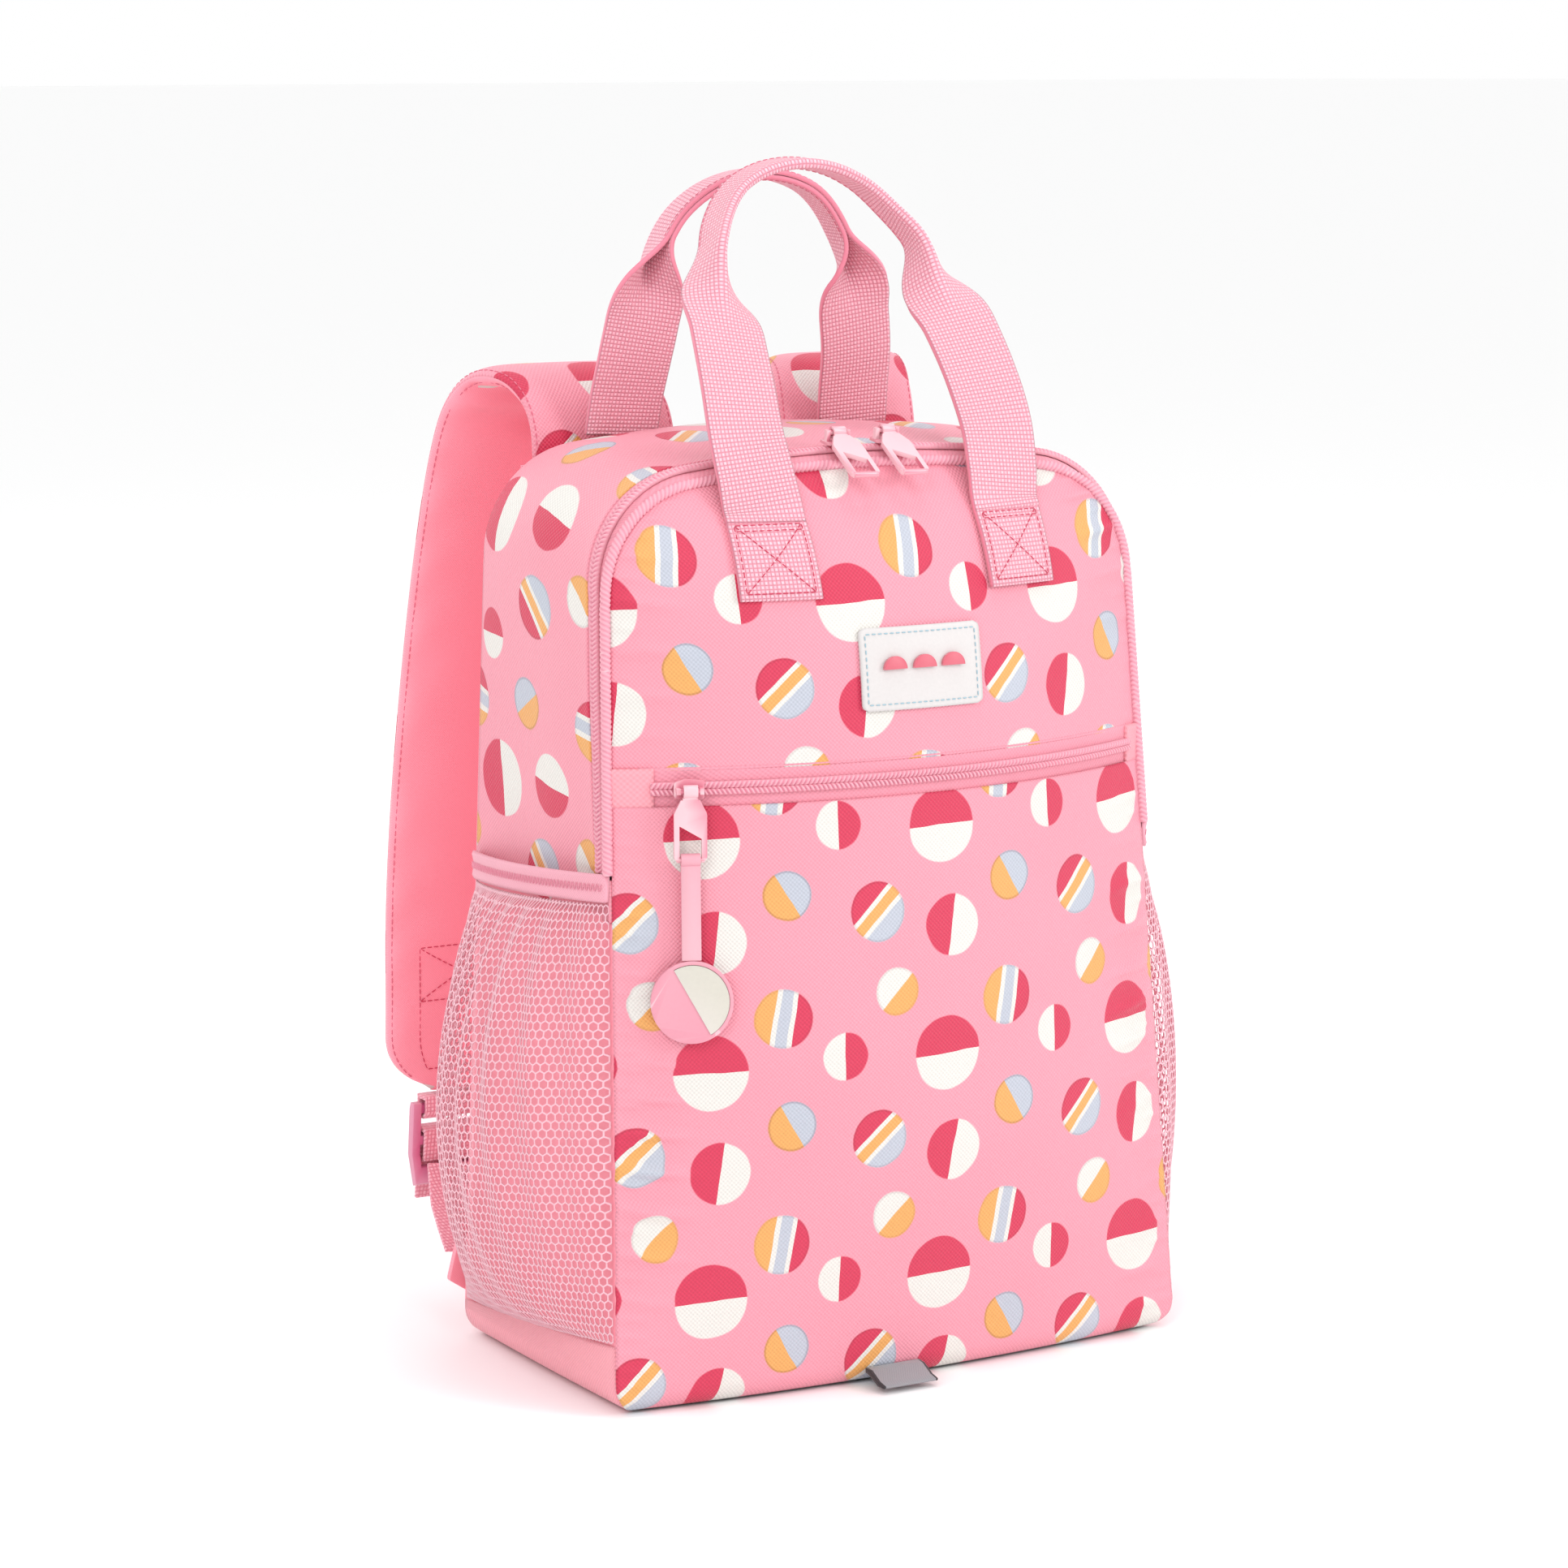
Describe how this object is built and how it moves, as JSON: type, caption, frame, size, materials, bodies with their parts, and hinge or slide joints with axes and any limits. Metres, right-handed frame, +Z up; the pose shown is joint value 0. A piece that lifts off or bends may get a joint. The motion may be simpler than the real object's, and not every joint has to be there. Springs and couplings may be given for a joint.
{
  "type": "school backpack",
  "caption": "School backpack with a fold-down zipped front, a front zip pocket with a hanging disc charm, mesh side pockets, twin carrying handles and padded shoulder straps.",
  "frame": {"origin": "on the floor plane, at the middle of the base's width, just in front of the middle of its depth", "axes": "+Z up, -Y the front with the pockets, +Y the wearer's back, +X the right side seen from the front"},
  "size_m": [0.3246, 0.2228, 0.4708],
  "materials": {
    "printed_polyester": "printed 600-denier oxford weave, slight sheen",
    "plain_polyester": "plain dyed smooth weave",
    "lining": "thin plain lining",
    "foam": "closed-cell foam sheet",
    "zip_tape": "woven herringbone tape",
    "zip_coil": "nylon coil",
    "mesh": "knitted hexagonal net",
    "elastic": "ribbed elastic binding",
    "webbing": "chunky basket-weave webbing",
    "painted_zinc": "satin paint",
    "buckle_plastic": "satin moulded",
    "hem_tab": "reflective grey ribbon",
    "label": "soft white",
    "emblem": "raised rubber",
    "charm_pink": "matte moulded",
    "charm_ivory": "matte moulded",
    "base_board": "plain sheet"
  },
  "bodies": {
    "bag": {"gusset": "printed_polyester", "back_panel": "plain_polyester", "back_foam": "foam", "back_lining": "lining", "seam_binding": "lining", "bottom_panel": "plain_polyester", "base_board": "base_board", "front_lower_panel": "printed_polyester", "front_lower_lining": "lining", "zip_tape_rear": "zip_tape", "zip_coil_rear": "zip_coil", "left_mesh_pocket": "mesh", "right_mesh_pocket": "mesh", "left_pocket_elastic": "elastic", "right_pocket_elastic": "elastic", "rear_handle_ends": "webbing", "hem_tab": "hem_tab", "left_anchor_tab": "plain_polyester", "right_anchor_tab": "plain_polyester", "left_web_lower": "webbing", "right_web_lower": "webbing", "strap_yoke": "plain_polyester"},
    "front_flap": {"front_upper_panel": "printed_polyester", "front_mid_panel": "printed_polyester", "front_flap_lining": "lining", "front_piping": "zip_tape", "zip_tape_front": "zip_tape", "zip_coil_front": "zip_coil", "pocket_zip_tape": "zip_tape", "pocket_zip_coil": "zip_coil", "pocket_zip_tabs": "printed_polyester", "label_patch": "label", "label_emblem": "emblem", "front_handle_ends": "webbing"},
    "main_slider_left": {"main_slider_left": "painted_zinc"},
    "main_slider_right": {"main_slider_right": "painted_zinc"},
    "main_puller_left": {"main_puller_left": "painted_zinc"},
    "main_puller_right": {"main_puller_right": "painted_zinc"},
    "pocket_slider": {"pocket_slider": "painted_zinc"},
    "pocket_puller": {"pocket_puller": "painted_zinc"},
    "charm": {"charm_strap": "charm_pink", "charm_disc": "charm_pink", "charm_inlay": "charm_ivory"},
    "front_handle": {"front_handle_loop": "webbing"},
    "rear_handle": {"rear_handle_loop": "webbing"},
    "left_strap": {"left_strap_foam": "foam", "left_strap_cover": "printed_polyester", "left_strap_lining": "plain_polyester", "left_buckle_loop": "webbing"},
    "left_lock": {"left_ladder_lock": "buckle_plastic", "left_web_wrap": "webbing"},
    "right_strap": {"right_strap_foam": "foam", "right_strap_cover": "printed_polyester", "right_strap_lining": "plain_polyester", "right_buckle_loop": "webbing"},
    "right_lock": {"right_ladder_lock": "buckle_plastic", "right_web_wrap": "webbing"}
  },
  "joints": [
    {"name": "front_flap_open", "type": "hinge", "parent": "bag", "child": "front_flap", "pos_m": [0, -0.08815, 0.2055], "axis": [1, 0, 0], "range_deg": [0, 75]},
    {"name": "main_slider_left_run", "type": "slide", "parent": "front_flap", "child": "main_slider_left", "axis": [-0.9995, 0, -0.0308], "range_m": [0, 0.012]},
    {"name": "main_slider_right_run", "type": "slide", "parent": "front_flap", "child": "main_slider_right", "axis": [0.9995, 0, -0.0308], "range_m": [0, 0.012]},
    {"name": "main_puller_left_swing", "type": "hinge", "parent": "main_slider_left", "child": "main_puller_left", "pos_m": [-0.011, -0.03997, 0.36703], "axis": [-1, 0, 0], "range_deg": [0, 130]},
    {"name": "main_puller_right_swing", "type": "hinge", "parent": "main_slider_right", "child": "main_puller_right", "pos_m": [0.011, -0.03997, 0.36703], "axis": [-1, 0, 0], "range_deg": [0, 130]},
    {"name": "pocket_slider_run", "type": "hinge", "parent": "front_flap", "child": "pocket_slider", "pos_m": [0, 0.16438, 0.2385], "axis": [0, 0, 1], "range_deg": [0, 42.5]},
    {"name": "pocket_puller_swing", "type": "hinge", "parent": "pocket_slider", "child": "pocket_puller", "pos_m": [-0.09496, -0.07424, 0.2385], "axis": [-0.9291, 0.3697, 0], "range_deg": [0, 75]},
    {"name": "charm_swing", "type": "hinge", "parent": "pocket_puller", "child": "charm", "pos_m": [-0.09496, -0.07424, 0.2125], "axis": [-0.9291, 0.3697, 0], "range_deg": [0, 80]},
    {"name": "front_handle_fold", "type": "hinge", "parent": "front_flap", "child": "front_handle", "pos_m": [0, -0.06039, 0.3386], "axis": [1, 0, 0], "range_deg": [0, 125]},
    {"name": "rear_handle_fold", "type": "hinge", "parent": "bag", "child": "rear_handle", "pos_m": [0, 0.0583, 0.3626], "axis": [-1, 0, 0], "range_deg": [0, 30]},
    {"name": "left_strap_swing", "type": "hinge", "parent": "bag", "child": "left_strap", "pos_m": [0, 0.066, 0.351], "axis": [1, 0, 0], "range_deg": [0, 12]},
    {"name": "left_lock_tilt", "type": "hinge", "parent": "left_strap", "child": "left_lock", "pos_m": [-0.109, 0.1034, 0.084], "axis": [1, 0, 0], "range_deg": [0, 15]},
    {"name": "right_strap_swing", "type": "hinge", "parent": "bag", "child": "right_strap", "pos_m": [0, 0.066, 0.351], "axis": [1, 0, 0], "range_deg": [0, 12]},
    {"name": "right_lock_tilt", "type": "hinge", "parent": "right_strap", "child": "right_lock", "pos_m": [0.109, 0.1034, 0.084], "axis": [1, 0, 0], "range_deg": [0, 15]}
  ],
  "couplings": [
    {"joint": "pocket_puller_swing", "follows": "front_flap_open", "ratio": 1}
  ]
}
